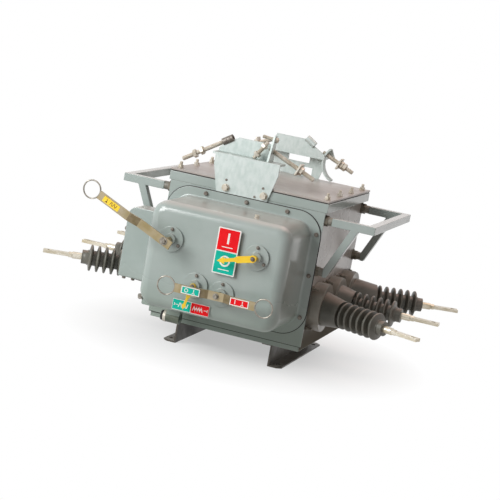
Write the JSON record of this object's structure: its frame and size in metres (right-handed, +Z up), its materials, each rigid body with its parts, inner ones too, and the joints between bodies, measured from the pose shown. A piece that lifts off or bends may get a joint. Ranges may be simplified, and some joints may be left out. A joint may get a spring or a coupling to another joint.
{
  "type": "pole-mounted vacuum circuit breaker",
  "caption": "Square painted tank on bent feet, with a drawn mechanism cover, ribbed bushings with flat terminals at both sides, hanging brackets on top and ring-handled levers in front.",
  "frame": {"origin": "centre of the foot bolts on the ground", "axes": "+Z up, -Y to the front with the mechanism cover, +X to the right seen from the front"},
  "size_m": [1.2328, 0.8798, 0.699],
  "materials": {
    "tank_paint": "semi-gloss grey-green enamel",
    "foot_paint": "satin black",
    "gasket_rubber": "matt",
    "galvanised_steel": "hot-dip galvanised",
    "zinc_steel": "yellow zinc plated",
    "insulator_rubber": "moulded silicone rubber",
    "tinned_copper": "tin plated",
    "pointer_paint": "gloss yellow"
  },
  "bodies": {
    "housing": {"tank": "tank_paint", "front_plate": "tank_paint", "lid_gasket": "gasket_rubber", "tank_lid": "tank_paint", "mechanism_cover": "tank_paint", "terminal_box": "tank_paint", "control_socket": "tank_paint", "left_foot": "foot_paint", "right_foot": "foot_paint", "front_bracket": "galvanised_steel", "rear_bracket": "galvanised_steel", "front_left_hook_bolt": "zinc_steel", "front_right_hook_bolt": "zinc_steel", "rear_left_hook_bolt": "zinc_steel", "rear_right_hook_bolt": "zinc_steel", "left_frame": "tank_paint", "right_frame": "tank_paint", "left_frame_bosses": "tank_paint", "right_frame_bosses": "tank_paint", "left_collars": "tank_paint", "right_collars": "tank_paint", "left_front_insulator": "insulator_rubber", "left_middle_insulator": "insulator_rubber", "left_rear_insulator": "insulator_rubber", "right_front_insulator": "insulator_rubber", "right_middle_insulator": "insulator_rubber", "right_rear_insulator": "insulator_rubber", "left_front_terminal": "tinned_copper", "left_middle_terminal": "tinned_copper", "left_rear_terminal": "tinned_copper", "right_front_terminal": "tinned_copper", "right_middle_terminal": "tinned_copper", "right_rear_terminal": "tinned_copper", "handle_bearing": "tank_paint", "position_bearing": "tank_paint", "charge_bearing": "tank_paint", "lever_bearing": "tank_paint"},
    "charging_handle": {"charging_handle": "zinc_steel"},
    "close_trip_lever": {"close_trip_lever": "zinc_steel"},
    "position_pointer": {"position_pointer": "pointer_paint"},
    "charge_pointer": {"charge_pointer": "pointer_paint"}
  },
  "joints": [
    {"name": "charging_handle_turn", "type": "hinge", "parent": "housing", "child": "charging_handle", "pos_m": [-0.14, -0.473, 0.362], "axis": [0, -1, 0], "range_deg": [0, 70], "stiffness_Nm_per_rad": 3, "springref_deg": -28.65},
    {"name": "close_trip_lever_turn", "type": "hinge", "parent": "housing", "child": "close_trip_lever", "pos_m": [0.043, -0.473, 0.236], "axis": [0, -1, 0], "range_deg": [-25, 25], "stiffness_Nm_per_rad": 2},
    {"name": "position_pointer_turn", "type": "hinge", "parent": "housing", "child": "position_pointer", "pos_m": [0.129, -0.473, 0.365], "axis": [0, 1, 0], "range_deg": [0, 30]},
    {"name": "charge_pointer_turn", "type": "hinge", "parent": "housing", "child": "charge_pointer", "pos_m": [-0.041, -0.473, 0.243], "axis": [0, -1, 0], "range_deg": [0, 30]}
  ]
}
